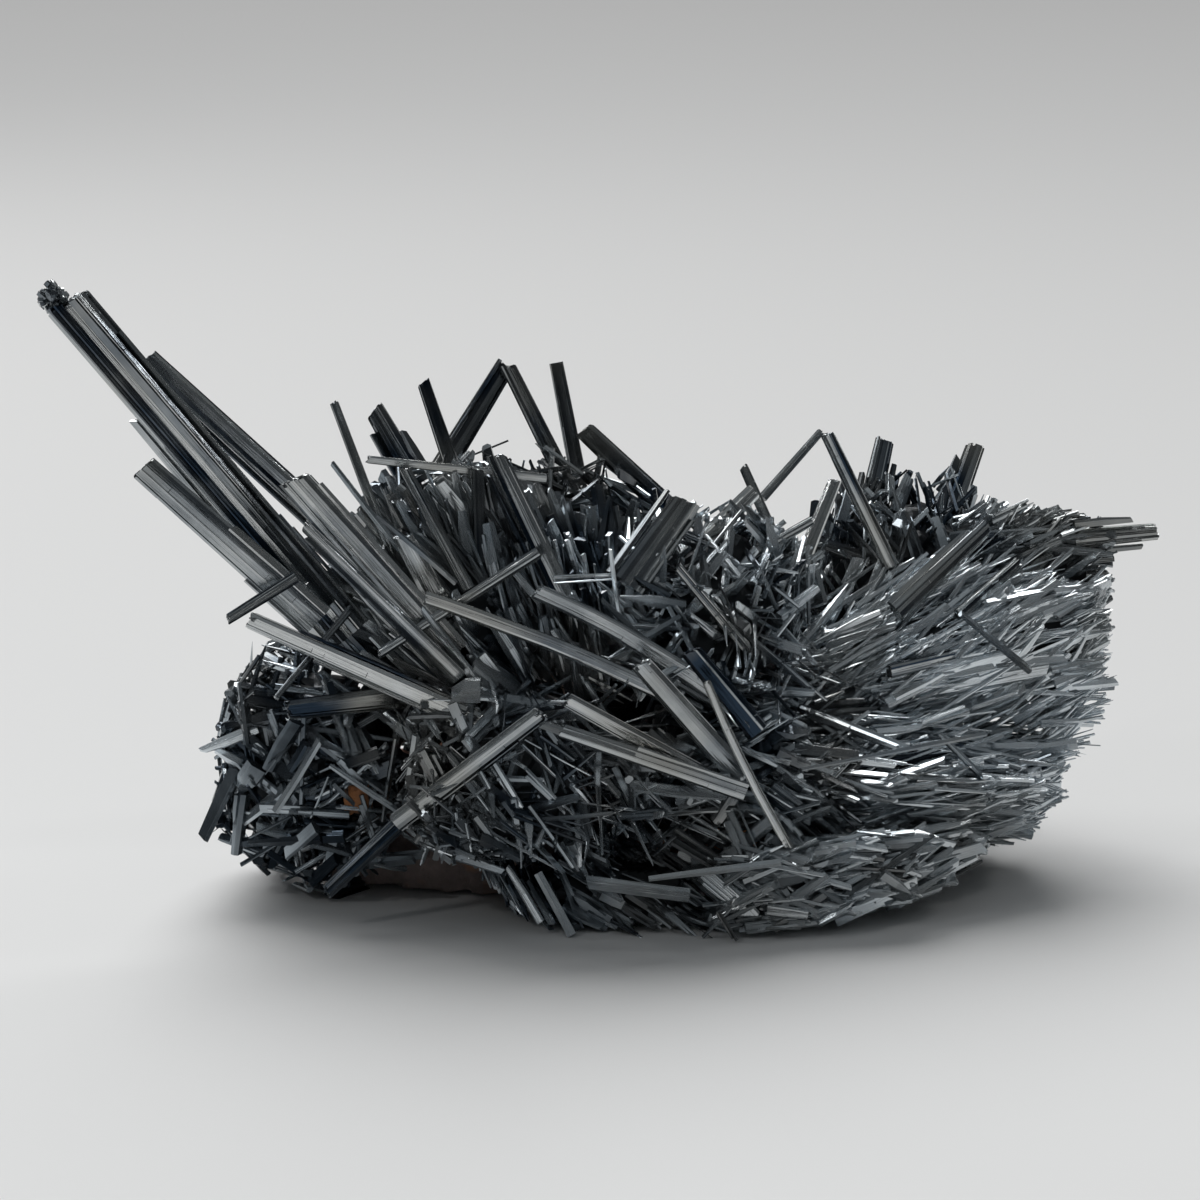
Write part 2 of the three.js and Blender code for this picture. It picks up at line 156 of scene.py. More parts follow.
def needles(root, tip, half_width, half_thick, rng, tone, pointed=0.25, root_tone=1.0):
    """Many small prisms. A needle's six-cornered flat section, with corners at uneven angles, is
    carried from root to tip over three rings; the middle ring is pushed aside by a slight bend, and
    the last one is narrower and slanted, as a broken end is. A share of the needles, pointed, ends
    in a point. The tone grows from a share, root_tone, at the root to all of it at the tip: painted
    shade, darker at the roots, which lie deep among the other needles."""
    count = len(root)
    rings, around = len(NEEDLE_RINGS), len(NEEDLE_CORNERS)
    axis = tip - root
    length = np.linalg.norm(axis, axis=1)
    axis = unit(axis)
    across, outward = cross_directions(axis, rng.uniform(0, 2 * np.pi, count))
    angles = NEEDLE_CORNERS + rng.uniform(-CORNER_SPREAD, CORNER_SPREAD, (count, around))
    ends = rng.uniform(0.6, 0.95, count)
    narrowing = np.stack([np.ones(count), np.full(count, 0.97), ends], axis=1)
    sharp = rng.random(count) < pointed
    narrowing[sharp, 2] = rng.uniform(0.12, 0.4, sharp.sum())
    x = np.cos(angles)[:, None, :] * half_width[:, None, None] * narrowing[:, :, None]
    y = np.sin(angles)[:, None, :] * half_thick[:, None, None] * narrowing[:, :, None]
    share = NEEDLE_RINGS
    bend = rng.normal(0, BEND_SPREAD, count)[:, None] * length[:, None] * (4 * share * (1 - share))
    along = length[:, None, None] * share[None, :, None] + np.zeros((count, rings, around))
    slant = rng.uniform(-STEEPEST_BREAK, STEEPEST_BREAK, count)
    along[:, 2] += np.minimum(slant[:, None] * x[:, 2] / narrowing[:, 2:], 0)
    points = (
        root[:, None, None]
        + axis[:, None, None] * along[..., None]
        + across[:, None, None] * (x + bend[..., None])[..., None]
        + outward[:, None, None] * y[..., None]
    )
    walls = wall_faces(count, rings, around)
    base = (np.arange(count) * rings * around)[:, None]
    top_cap = base + (rings - 1) * around + np.arange(around)
    root_cap = base + np.arange(around)[::-1]
    perimeter = 2 * np.pi * np.sqrt((half_width**2 + half_thick**2) / 2) / MM
    offset = rng.uniform(0, 900, (count, 2))
    u_step = np.linspace(0, 1, around + 1)[None, :] * perimeter[:, None] + offset[:, :1]
    v_step = share[None, :] * length[:, None] / MM + offset[:, 1:]
    u_wall = np.stack([u_step[:, :-1], u_step[:, 1:], u_step[:, 1:], u_step[:, :-1]], axis=-1)
    v_wall = np.stack([v_step[:, :-1], v_step[:, :-1], v_step[:, 1:], v_step[:, 1:]], axis=-1)
    wall_uv = np.stack(np.broadcast_arrays(u_wall[:, None], v_wall[:, :, None]), axis=-1)
    cap_uv = np.repeat(offset[:, None], around, axis=1) + rng.uniform(0, 0.3, (count, around, 2))
    return shape(
        points,
        np.concatenate([walls.ravel(), top_cap.ravel(), root_cap.ravel()]),
        np.concatenate([np.full(count * (rings - 1) * around, 4), np.full(2 * count, around)]),
        np.concatenate([wall_uv.reshape(-1, 2), cap_uv.reshape(-1, 2), cap_uv.reshape(-1, 2)]),
        # painted shade: the tone falls from the tip toward the root by root_tone
        np.repeat(tone[:, None] * np.linspace(root_tone, 1, rings), around),
    )


# ---------------- large crystals

SECTION = np.array(
    [
        [1, 0.42], [0.62, 1], [-0.62, 1], [-1, 0.42],
        [-1, -0.42], [-0.62, -1], [0.62, -1], [1, -0.42],
    ]
)  # corners of the bevelled flat section, in half widths and half thicknesses
END_CORNERS = 9  # a CAD prism's corners at each end: eight, and the middle
NEAR_TIP = 0.7  # share of the length beyond which corners count as the tip's
STRIP_SHARE = 0.32  # width of a strip, as a share of the crystal's half width
NARROWEST_STRIP, WIDEST_STRIP = 0.17 * MM, 0.42 * MM
STEP_PLACES = 8  # places along a crystal where the depths of its strips may change
STEP_CHANCE = 0.14  # that a strip's depth changes at one of them
STEP_RUN = 0.0015  # half the length of such a step, as a share of the crystal's
DEEPEST_GROOVE = 0.45  # depths are shares of the distance from the middle line
CAP_RINGS = np.array([0.85, 0.62, 0.38, 0.14])  # sizes of the rings that close a broken end
TONE_COLUMN, DEPTH_COLUMN = 1, 2  # of a table of lengthwise bands


def node_corners(node):
    """The distinct corners of a CAD node, in metres."""
    mesh = frame["nodes"][node].data
    flat = np.empty(len(mesh.vertices) * 3)
    mesh.vertices.foreach_get("co", flat)
    return np.unique(flat.reshape(-1, 3).round(7), axis=0)


def read_prism(node):
    """Middle line, directions and half sizes of a CAD prism. Its long direction joins the middles
    of its two ends, and the wider end is the root. Its broad direction is the front-to-back axis
    crossed with the long one. Its bow is the best parabola through all of its corners, and none
    where it has no corners between its ends."""
    points = node_corners(node)
    axis = np.linalg.svd(points - points.mean(0))[2][0]
    for _ in range(3):
        order = np.argsort(points @ axis)
        low, high = points[order[:END_CORNERS]], points[order[-END_CORNERS:]]
        axis = unit(high.mean(0) - low.mean(0))
    across = unit(np.cross([0, 1, 0], axis))
    if np.ptp(low @ across) < np.ptp(high @ across):
        low, high, axis, across = high, low, -axis, -across
    root, tip = low.mean(0), high.mean(0)
    outward = np.cross(across, axis)
    share = (points - root) @ axis / np.linalg.norm(tip - root)
    sideways = (points - root) @ across
    bow_terms = 4 * share * (1 - share)
    bow = (sideways * bow_terms).sum() / max((bow_terms**2).sum(), 1e-9)
    if len(points) == 2 * END_CORNERS:
        bow = 0.0
    near_tip = share > NEAR_TIP
    tip_across = np.abs(sideways - bow * bow_terms)[near_tip].max()
    tip_outward = np.abs((points - root) @ outward)[near_tip].max()
    return {
        "root": root,
        "axis": axis,
        "across": across,
        "outward": outward,
        "length": share.max() * np.linalg.norm(tip - root),
        "bow": bow,
        "half_width": (np.ptp(low @ across) / 2, tip_across),
        "half_thick": (np.ptp(low @ outward) / 2, tip_outward),
    }


def strip_edges(rng, half_width, half_thick, strip):
    """Both edges of every lengthwise strip round the section: each side of the section is shared
    out among strips of uneven width."""
    starts, ends = [], []
    scaled = SECTION * [half_width, half_thick]
    for corner, following in zip(scaled, np.roll(scaled, -1, axis=0)):
        strips = max(1, int(round(np.linalg.norm(following - corner) / strip)))
        marks = np.cumsum(np.concatenate([[0], rng.uniform(0.3, 1.7, strips)]))
        marks = (marks / marks[-1])[:, None]
        line = corner + (following - corner) * marks
        starts.append(line[:-1])
        ends.append(line[1:])
    return np.concatenate(starts), np.concatenate(ends)


def banded(place, bands, column):
    """The tone or the depth of the band that holds each place across the crystal, from -1 to 1."""
    limits, values = np.array(bands)[:, [0, column]].T
    return values[np.searchsorted(limits, place).clip(0, len(bands) - 1)]


def stepped_depths(rng, depth):
    """Places along the crystal, as shares of its length, and the depth of both edges of each strip
    there: the strip's own depth plus the sum of the small steps so far, and a slant of its own."""
    strips = len(depth)
    jumps = rng.random((strips, STEP_PLACES)) < STEP_CHANCE
    steps = jumps * rng.uniform(-0.05, 0.1, (strips, STEP_PLACES))
    depth = depth[:, None] + np.cumsum(steps, axis=1)
    marks = np.sort(rng.uniform(0.05, 0.97, STEP_PLACES - 1))
    beside = np.tile([-STEP_RUN, STEP_RUN], STEP_PLACES - 1)
    share = np.concatenate([[0], np.repeat(marks, 2) + beside, [1]])
    depth = np.repeat(np.repeat(depth, 2, axis=1), 2, axis=0).T
    return share, np.clip(depth + rng.normal(0, 0.03, 2 * strips), 0, DEEPEST_GROOVE)


def broken_end(rng, x, y, along, half_width):
    """The rings with a broken end added: each further ring is smaller, and its strips stop at
    heights that go over from those of the last ring to their mean, with random pits."""
    strips = x.shape[1] // 2
    pits = rng.normal(0, 0.16 * half_width, (len(CAP_RINGS), strips)).repeat(2, axis=1)
    blend = np.linspace(0.75, 0, len(CAP_RINGS))[:, None]
    heights = along[-1][None] * blend + along[-1].mean() * (1 - blend)
    heights = heights + np.minimum(pits, 0.08 * half_width)
    size = CAP_RINGS[:, None]
    return (
        np.concatenate([x, x[-1][None] * size]),
        np.concatenate([y, y[-1][None] * size]),
        np.concatenate([along, heights]),
    )


def grooved_crystal(node, seed, tone, roughness=0.06, bands=None, cut_short=0.0):
    """One large crystal. Its section's strips are carried along the middle line; each strip is sunk
    by its own depth, which changes by small steps at a few places along the length, so the faces
    are grooved and stepped. The far end is broken: every strip stops at its own height, and the
    break between them is closed by rings that draw in to the middle. The parabola of the bow moves
    it sideways. Bands, where given, set the strips' tone and depth from edge to edge."""
    rng = np.random.default_rng(seed)
    prism = read_prism(node)
    half_width, half_thick = prism["half_width"][0], prism["half_thick"][0]
    strip = np.clip(STRIP_SHARE * half_width, NARROWEST_STRIP, WIDEST_STRIP)
    start, end = strip_edges(rng, half_width, half_thick, strip)
    strips = len(start)
    section = np.stack([start, end], axis=1).reshape(-1, 2)
    around = len(section)

    depth = np.abs(rng.normal(0, roughness, strips))
    strip_tone = tone + rng.normal(0, 0.2, strips)
    if bands:
        place = (start[:, 0] + end[:, 0]) / (2 * half_width)
        depth = 0.4 * depth + banded(place, bands, DEPTH_COLUMN)
        strip_tone = banded(place, bands, TONE_COLUMN) + rng.normal(0, 0.07, strips)
    share, depth = stepped_depths(rng, depth)

    taper_x = 1 + (prism["half_width"][1] / half_width - 1) * share
    taper_y = 1 + (prism["half_thick"][1] / half_thick - 1) * share
    x = section[None, :, 0] * (1 - depth) * taper_x[:, None]
    y = section[None, :, 1] * (1 - depth) * taper_y[:, None]
    length = prism["length"] - cut_short
    jag = np.repeat(rng.uniform(0, 1, strips), 2) ** 2 * min(0.7 * half_width, 0.03 * length)
    lean = x[-1] * rng.uniform(-0.5, 0.5)
    along = share[:, None] * length * np.ones(around)
    along[-1] -= jag + lean - lean.min()
    along[-2] = np.minimum(along[-2], along[-1] - 1e-5)

    x, y, along = broken_end(rng, x, y, along, half_width)
    along = np.minimum(along, length)
    rings = len(x)
    path = np.clip(along / length, 0, 1)
    lift = prism["bow"] * 4 * path * (1 - path)
    points = (
        prism["root"]
        + prism["axis"] * along[..., None]
        + prism["across"] * (x + lift)[..., None]
        + prism["outward"] * y[..., None]
    )
    walls = wall_faces(1, rings, around).reshape(-1, 4)
    top_cap = (rings - 1) * around + np.arange(around)
    root_cap = np.arange(around)[::-1]

    edge = np.linalg.norm(np.roll(section, -1, axis=0) - section, axis=1)
    u = np.concatenate([[0], np.cumsum(edge)]) / MM + rng.uniform(0, 500)
    v = along / MM + rng.uniform(0, 500)
    u_wall = np.stack([u[:-1], u[1:], u[1:], u[:-1]], axis=-1)[None].repeat(rings - 1, axis=0)
    v_next = np.roll(v, -1, axis=1)
    v_wall = np.stack([v[:-1], v_next[:-1], v_next[1:], v[1:]], axis=-1)
    wall_uv = np.stack([u_wall, v_wall], axis=-1)
    cap_uv = rng.uniform(0, 1, (2 * around, 2))
    tones = np.clip(np.tile(np.repeat(strip_tone, 2), rings), 0, 1)
    return shape(
        points,
        np.concatenate([walls.ravel(), top_cap, root_cap]),
        np.concatenate([np.full(len(walls), 4), [around, around]]),
        np.concatenate([wall_uv.reshape(-1, 2), cap_uv]),
        tones,
    )


def side_splinters(node, seed, rows):
    """Thin crystals that lie along a large one. Each row gives its place across and in front of the
    middle line in half widths and half thicknesses, the shares of the length where it starts and
    ends, its width in millimetres, and its tone."""
    rng = np.random.default_rng(seed)
    prism = read_prism(node)
    across, front, start, end, width, tone = np.array(rows).T[:, :, None]
    side = prism["across"] * across * prism["half_width"][0]
    side = side + prism["outward"] * front * prism["half_thick"][0]
    root = prism["root"] + prism["axis"] * prism["length"] * start + side
    tip = prism["root"] + prism["axis"] * prism["length"] * end + side
    half = width[:, 0] * MM / 2
    return needles(root, tip, half, half * 0.8, rng, tone[:, 0], pointed=0)


def crumbly_tip(node, seed, radius, count):
    """A rough nub of small broken crystals: short prisms at random places in a ball at the tip,
    pointing every way."""
    rng = np.random.default_rng(seed)
    prism = read_prism(node)
    centre = prism["root"] + prism["axis"] * (prism["length"] - 1.15 * radius)
    centre = centre - prism["across"] * 0.35 * prism["half_width"][1]
    reach = radius * rng.random((count, 1)) ** 0.4
    middle = centre + random_directions(rng, count) * reach * [1, 0.8, 1]
    half_length = random_directions(rng, count) * rng.uniform(0.25, 0.55, (count, 1)) * MM
    half = rng.uniform(0.16, 0.42, count) * MM
    tone = rng.uniform(0.2, 0.9, count)
    root, tip = middle - half_length, middle + half_length
    return needles(root, tip, half, half * 0.8, rng, tone, pointed=0)


# ---------------- clusters

OUTLINE_TOLERANCE = 0.05 * MM
BLEND = 2.6 * MM  # how far the outlines of neighbouring clusters flow into each other
WAVE_DEPTH = 1.5 * MM
WAVES = np.array([[520, 310, -240], [-260, 420, 510], [640, -230, 450]])  # radians per metre
SHELL = 3.5 * MM  # depth within which most needles have their middle point
BARE_REACH = 1.5 * MM  # a side is bare where no cluster lies this far outside it
INNER_CHANCE = 0.15  # of a needle deeper than the shell, against one in the shell
COVERED_CHANCE = 0.25  # of a needle by a covered side, against one by a bare side
PAINTED_SHADE_DEPTH = 9 * MM  # depth at which a needle's tone, darkened with depth as painted shade, has fallen to about a third
AHEAD, BEHIND = 0.6, 0.4  # shares of a needle's length before and behind its middle point
SHORTEST = 0.45  # a needle cut shorter than this share of the least length is left out
STRAND_SCATTER = 0.035  # how far the strands of one sheaf turn from each other
STRAND_SPACING = 0.9  # between neighbouring strands, in widths
SHEAF_TONE_SPREAD, STRAND_TONE_SPREAD = 0.42, 0.12
DARKEST_TONE = 0.03
CORE_SHARE = 0.7  # size of the close-packed roots inside a cluster, as a share of its outline; they are near-black, painted shade in the gaps between needles


def hull_planes(node):
    """Outward normals and distances of the flat sides of a node's convex outline: the sides of the
    hull of its corners, without the slivers whose plane would cut a corner off."""
    corners = node_corners(node)
    outline = bmesh.new()
    for corner in corners:
        outline.verts.new(corner)
    bmesh.ops.convex_hull(outline, input=outline.verts)
    outline.normal_update()
    normals = np.array([face.normal for face in outline.faces])
    offsets = (normals * np.array([face.verts[0].co for face in outline.faces])).sum(1)
    outline.free()
    inward = normals @ corners.mean(0) > offsets
    normals[inward], offsets[inward] = -normals[inward], -offsets[inward]
    sound = (corners @ normals.T - offsets).max(0) < OUTLINE_TOLERANCE
    return normals[sound], offsets[sound]


def middle_of(planes, low, high):
    """The middle of the convex outline: the mean of an even grid of places inside it."""
    share = np.linspace(0.02, 0.98, 13)
    grid = np.stack(np.meshgrid(share, share, share, indexing="ij"), axis=-1).reshape(-1, 3)
    places = low + (high - low) * grid
    return places[(places @ planes[0].T < planes[1]).all(1)].mean(0)


def room_ahead(points, directions, planes):
    """How far each point can move in its direction before it leaves the convex outline."""
    normals, offsets = planes
    gap = offsets[None] - points @ normals.T
    speed = directions @ normals.T
    travel = np.where(speed > 1e-6, gap / np.maximum(speed, 1e-6), np.inf)
    return np.maximum(travel.min(1), 0)


def surface_waves(places):
    """How deep the uneven surface lies under the smooth one: the product of three slanted sine
    waves, from nothing to WAVE_DEPTH."""
    first, second, third = np.moveaxis(places @ WAVES.T, -1, 0)
    return WAVE_DEPTH * (0.5 + 0.5 * np.sin(first) * np.sin(second + 1) * np.sin(third))


def inside_specimen(places):
    """Whether each place lies in the specimen. Every outline adds a field that falls off with the
    distance outside it, so two neighbours fill the crease between them, and the surface where the
    fields add up to one is made uneven by waves."""
    field = np.zeros(places.shape[:-1])
    for normals, offsets in OUTLINES.values():
        field += np.exp(-(places @ normals.T - offsets).max(-1) / BLEND)
    return field > np.exp(surface_waves(places) / BLEND)


def depth_below(places):
    """How deep each place lies under the nearest side of the outline that holds it most deeply."""
    depth = np.full(len(places), -np.inf)
    for normals, offsets in OUTLINES.values():
        depth = np.maximum(depth, (offsets - places @ normals.T).min(1))
    return depth


def room_in_specimen(points, directions, longest, steps=20):
    """How far each point can move in its direction, up to its longest, before one of the steps on
    the way leaves the specimen."""
    share = np.arange(1, steps + 1) / steps
    places = points[:, None] + directions[:, None] * (longest[:, None] * share)[..., None]
    return longest * np.cumprod(inside_specimen(places), axis=1).sum(1) / steps


def points_under_surface(rng, planes, low, high, count):
    """Random points inside the outline, the outward direction of the side nearest to each, and
    whether that side is bare. Most points lie within the shell under a bare side, and few deeper
    or by a side that another cluster covers."""
    normals, offsets = planes
    kept, facing, bare = np.empty((0, 3)), np.empty((0, 3)), np.empty(0, bool)
    while len(kept) < count:
        tries = rng.uniform(low, high, (count * 8, 3))
        gaps = offsets[None] - tries @ normals.T
        depth, nearest = gaps.min(1), normals[gaps.argmin(1)]
        open_side = ~inside_specimen(tries + nearest * (depth + BARE_REACH)[:, None])
        chance = np.where(depth < SHELL, 1.0, INNER_CHANCE)
        chance *= np.where(open_side, 1.0, COVERED_CHANCE)
        chosen = (depth > 0) & (rng.random(len(tries)) < chance)
        kept = np.concatenate([kept, tries[chosen]])
        facing = np.concatenate([facing, nearest[chosen]])
        bare = np.concatenate([bare, open_side[chosen]])
    return kept[:count], facing[:count], bare[:count]


def cluster_needles(
    node, seed, count, length, width, nucleus, radial=1.0, lean=(0, 0, 0), scatter=0.4,
    lie_flat=0.3, strands=2.2, tone=0.45, slender=2.2, root_tone=0.45,
):
    """The needles of one cluster, in count sheaves. A sheaf starts at a random point. Its direction
    is radial times the one away from the nucleus, plus the lean, plus scatter times a random one;
    near a bare side it loses a share, lie_flat, of its outward part. Its strands are parallel, side
    by side and of uneven length, and stop inside the specimen. Widths run from the least to the
    greatest as a power, which makes thin ones the commoner the greater slender is. The tone falls
    off with the depth below the outline: painted shade, darker deeper in the cluster."""
    rng = np.random.default_rng(seed)
    low, high = (np.array(corner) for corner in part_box(node))
    source = low + (high - low) * nucleus
    seeds, facing, bare = points_under_surface(rng, OUTLINES[node], low, high, count)
    direction = radial * unit(seeds - source) + np.array(lean)
    direction = direction + scatter * random_directions(rng, count)
    facing = facing * bare[:, None]
    direction = direction - lie_flat * (direction * facing).sum(1, keepdims=True) * facing
    direction = unit(direction)

    copies = 1 + rng.poisson(strands - 1, count)
    owner = np.repeat(np.arange(count), copies)
    total = len(owner)
    direction = unit(direction[owner] + STRAND_SCATTER * random_directions(rng, total))
    size = width[0] * (width[1] / width[0]) ** (rng.random(count) ** slender)
    half_width = size[owner] * rng.uniform(0.55, 1.1, total) * MM / 2
    half_thick = half_width * rng.uniform(0.35, 0.9, total)
    beside, above = cross_directions(direction, rng.uniform(0, 2 * np.pi, count)[owner])
    step = rng.normal(0, STRAND_SPACING, (total, 1)) * half_width[:, None] * 2
    centre = seeds[owner] + beside * step + above * step * rng.uniform(-0.5, 0.5, (total, 1))
    reach = rng.uniform(length[0], length[1], count)[owner] * rng.uniform(0.7, 1.1, total) * MM
    room = room_in_specimen(centre, direction, AHEAD * reach)
    ahead = room * np.where(room < AHEAD * reach, rng.uniform(0.4, 1, total), 1)
    behind = room_in_specimen(centre, -direction, BEHIND * reach)
    tip = centre + direction * ahead[:, None]
    root = centre - direction * behind[:, None]
    keep = (ahead + behind) > SHORTEST * length[0] * MM
    below = np.maximum(depth_below(centre), 0)
    tones = tone + rng.normal(0, SHEAF_TONE_SPREAD, count)[owner]
    tones = np.maximum(tones + rng.normal(0, STRAND_TONE_SPREAD, total), DARKEST_TONE)
    # painted shade: a needle's tone falls off with its depth below the outline
    tones = np.clip(tones * np.exp(-below / PAINTED_SHADE_DEPTH), 0, 1)
    return needles(
        root[keep], tip[keep], half_width[keep], half_thick[keep], rng, tones[keep],
        root_tone=root_tone,
    )


def lumpy_ball(centre, planes, scale, seed, bumps, tone, material, across=56, up=28, share=0.12):
    """A closed surface over the sphere's two angles: each ray from the centre stops at a share of
    the way to the outline, less a blocky dent that follows the nearest of a few random rays."""
    rng = np.random.default_rng(seed)
    turn = np.linspace(0, 2 * np.pi, across, endpoint=False)
    tilt = np.linspace(-np.pi / 2, np.pi / 2, up + 2)[1:-1]
    tilt_grid, turn_grid = np.meshgrid(tilt, turn, indexing="ij")
    level = np.cos(tilt_grid)
    rays = np.stack([level * np.cos(turn_grid), level * np.sin(turn_grid), np.sin(tilt_grid)], -1)
    rays = np.concatenate([rays.reshape(-1, 3), [[0, 0, -1], [0, 0, 1]]])
    dents = random_directions(rng, bumps)
    closeness = np.sort(rays @ dents.T, axis=1)
    crack = np.clip((closeness[:, -1] - closeness[:, -2]) * 9, 0, 1)
    dent = rng.uniform(0, 1, bumps)[(rays @ dents.T).argmax(1)]
    reach = room_ahead(np.broadcast_to(centre, rays.shape), rays, planes)
    reach = reach * scale * (1 - share * dent - 0.5 * share * (1 - crack))
    points = centre + rays * reach[:, None]
    walls = wall_faces(1, up, across).reshape(-1, 4)
    south, north = len(points) - 2, len(points) - 1
    first = np.arange(across)
    last = (up - 1) * across + first
    south_cap = np.stack([np.full(across, south), np.roll(first, -1), first], axis=1)
    north_cap = np.stack([np.full(across, north), last, np.roll(last, -1)], axis=1)
    corners = np.concatenate([walls.ravel(), south_cap.ravel(), north_cap.ravel()])
    sizes = np.concatenate([np.full(len(walls), 4), np.full(2 * across, 3)])
    uv = points[corners][:, [0, 2]] / MM
    return shape(points, corners, sizes, uv, tone, material)


# ---------------- finishes


def group(name, inputs, outputs):
    """A shader node group with these sockets, given as (name, kind, value) and (name, kind)."""
    tree = bpy.data.node_groups.new(name, "ShaderNodeTree")
    for label, kind, value in inputs:
        socket = tree.interface.new_socket(label, in_out="INPUT", socket_type=kind)
        socket.default_value = value
    for label, kind in outputs:
        tree.interface.new_socket(label, in_out="OUTPUT", socket_type=kind)
    return tree, tree.nodes.new("NodeGroupInput"), tree.nodes.new("NodeGroupOutput")


def math_node(tree, operation, *values):
    """The result of one operation on sockets or numbers."""
    node = tree.nodes.new("ShaderNodeMath")
    node.operation = operation
    for socket, value in zip(node.inputs, values):
        if isinstance(value, (int, float)):
            socket.default_value = value
        else:
            tree.links.new(value, socket)
    return node.outputs[0]


def mix_colour(tree, share, first, second):
    """The colour a share of the way from the first to the second."""
    node = tree.nodes.new("ShaderNodeMix")
    node.data_type = "RGBA"
    for place, value in ((0, share), (6, first), (7, second)):
        socket = node.inputs[place]
        if isinstance(value, (int, float)):
            socket.default_value = value
        elif isinstance(value, tuple):
            socket.default_value = (*value, 1)
        else:
            tree.links.new(value, socket)
    return node.outputs[2]


def ramp(tree, value, stops):
    """A mask that follows the value through the stops, given as (place, brightness)."""
    node = tree.nodes.new("ShaderNodeValToRGB")
    elements = node.color_ramp.elements
    while len(elements) < len(stops):
        elements.new(0.5)
    for element, (place, brightness) in zip(elements, stops):
        element.position = place
        element.color = (brightness, brightness, brightness, 1)
    tree.links.new(value, node.inputs[0])
    return node.outputs[0]


def noise(tree, vector, scale, detail=2.0, roughness=0.5):
    """Noise on the vector, from 0 to 1."""
    node = tree.nodes.new("ShaderNodeTexNoise")
    node.inputs["Scale"].default_value = scale
    node.inputs["Detail"].default_value = detail
    node.inputs["Roughness"].default_value = roughness
    tree.links.new(vector, node.inputs["Vector"])
    return node.outputs["Fac"]


def stretched(tree, vector, scale):
    """The vector scaled unevenly."""
    node = tree.nodes.new("ShaderNodeMapping")
    node.inputs["Scale"].default_value = scale
    tree.links.new(vector, node.inputs["Vector"])
    return node.outputs[0]


def grooves_group():
    """Lengthwise grooves: noise on the piece's own UV map, which runs in millimetres round and
    along each crystal, drawn out along it; coarse and fine grooves are added, 0.7 to 0.3."""
    tree, _, made = group(
        "lengthwise_grooves", [], [("Height", "NodeSocketFloat"), ("Streaks", "NodeSocketFloat")]
    )
    uv = tree.nodes.new("ShaderNodeUVMap")
    uv.uv_map = "lengthwise"
    coarse = noise(tree, stretched(tree, uv.outputs[0], (5.0, 0.09, 1)), 1.0, 2.0)
    fine = noise(tree, stretched(tree, uv.outputs[0], (16.0, 0.22, 1)), 1.0, 2.0)
    coarse_height = math_node(tree, "MULTIPLY", coarse, 0.7)
    fine_height = math_node(tree, "MULTIPLY", fine, 0.3)
    height = math_node(tree, "ADD", coarse_height, fine_height)
    tree.links.new(height, made.inputs["Height"])
    tree.links.new(ramp(tree, fine, [(0.35, 0.0), (0.65, 1.0)]), made.inputs["Streaks"])
    return tree


def tarnish_and_painted_light_group():
    """The colour of a crystal face: the tone stored on each crystal chooses between dark blue-grey,
    lead grey and pale grey, large soft noise on the specimen shifts it a little, and other noise
    lays a warmer grey over it in patches. The stored tone holds random differences between
    crystals, and also painted shade deep in the clusters and at the needles' roots, painted
    highlight on a few large crystals, and painted reflection on the spear's bands."""
    tree, given, made = group(
        "tarnish_and_painted_light",
        [
            ("Dark", "NodeSocketColor", (0.1, 0.12, 0.15, 1)),
            ("Grey", "NodeSocketColor", (0.4, 0.42, 0.45, 1)),
            ("Pale", "NodeSocketColor", (0.6, 0.64, 0.67, 1)),
            ("Warm", "NodeSocketColor", (0.4, 0.38, 0.34, 1)),
            ("Streaks", "NodeSocketFloat", 0.5),
            ("Dullness", "NodeSocketFloat", 0.1),
        ],
        [("Colour", "NodeSocketColor"), ("Roughness", "NodeSocketFloat")],
    )
    # the stored tone: random differences, painted shade, painted highlight and painted reflection
    stored = tree.nodes.new("ShaderNodeAttribute")
    stored.attribute_name = "tone"
    place = tree.nodes.new("ShaderNodeTexCoord").outputs["Object"]
    patches = noise(tree, place, 260.0, 3.0)
    warm_mask = ramp(tree, noise(tree, place, 90.0, 2.0), [(0.45, 0.0), (0.68, 1.0)])
    shift = math_node(tree, "MULTIPLY", math_node(tree, "SUBTRACT", patches, 0.5), 0.5)
    tone = math_node(tree, "ADD", stored.outputs["Fac"], shift)
    dark = given.outputs["Dark"]
    greyness = ramp(tree, tone, [(0.05, 0.0), (0.6, 1.0)])
    grey = mix_colour(tree, greyness, dark, given.outputs["Grey"])
    paleness = ramp(tree, tone, [(0.5, 0.0), (0.9, 1.0)])
    pale = mix_colour(tree, paleness, grey, given.outputs["Pale"])
    warmth = math_node(tree, "MULTIPLY", warm_mask, 0.6)
    warmed = mix_colour(tree, warmth, pale, given.outputs["Warm"])
    streaks = math_node(tree, "MULTIPLY", given.outputs["Streaks"], 0.22)
    tree.links.new(mix_colour(tree, streaks, warmed, dark), made.inputs["Colour"])
    unevenness = math_node(tree, "MULTIPLY", patches, 0.22)
    roughness = math_node(tree, "ADD", given.outputs["Dullness"], unevenness)
    tree.links.new(roughness, made.inputs["Roughness"])
    return tree


GROOVES = grooves_group()
TARNISH_AND_PAINTED_LIGHT = tarnish_and_painted_light_group()


def use_group(material, tree, values):
    """Places a shader node group in a material with its own values."""
    node = material.node_tree.nodes.new("ShaderNodeGroup")
    node.node_tree = tree
    for label, value in values.items():
        node.inputs[label].default_value = value
    return node


